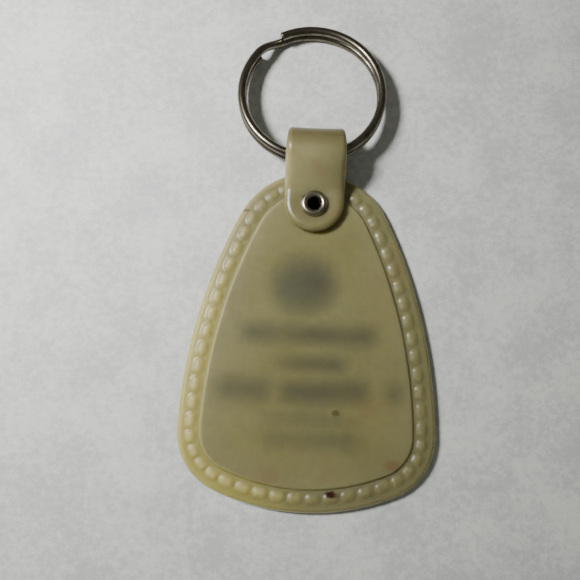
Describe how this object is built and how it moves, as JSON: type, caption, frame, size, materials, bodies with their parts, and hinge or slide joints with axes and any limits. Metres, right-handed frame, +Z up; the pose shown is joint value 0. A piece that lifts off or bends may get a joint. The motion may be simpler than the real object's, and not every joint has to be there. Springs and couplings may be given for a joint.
{
  "type": "key fob",
  "caption": "Pear-shaped soft vinyl key tag with a beaded border, its strap folded over a split ring and closed by a hollow rivet.",
  "frame": {"origin": "under the middle of the whole object, on the surface that it lies on", "axes": "+Y from the tag's round tip to the far side of the split ring, +Z up out of the face that the strap is riveted to, +X across the tag"},
  "size_m": [0.0414, 0.081, 0.0079],
  "materials": {
    "aged_vinyl": "satin translucent soft vinyl, yellowed with age",
    "rivet_nickel": "nickel plate, slightly tarnished",
    "ring_nickel": "nickel-plated spring wire, slightly tarnished"
  },
  "bodies": {
    "tag": {"vinyl_tag": "aged_vinyl", "rivet": "rivet_nickel"},
    "ring": {"split_ring": "ring_nickel"}
  },
  "joints": [
    {"name": "ring_swing", "type": "hinge", "parent": "tag", "child": "ring", "pos_m": [0, 0.01709, 0.00406], "axis": [1, 0, 0], "range_deg": [-130, 185]}
  ]
}
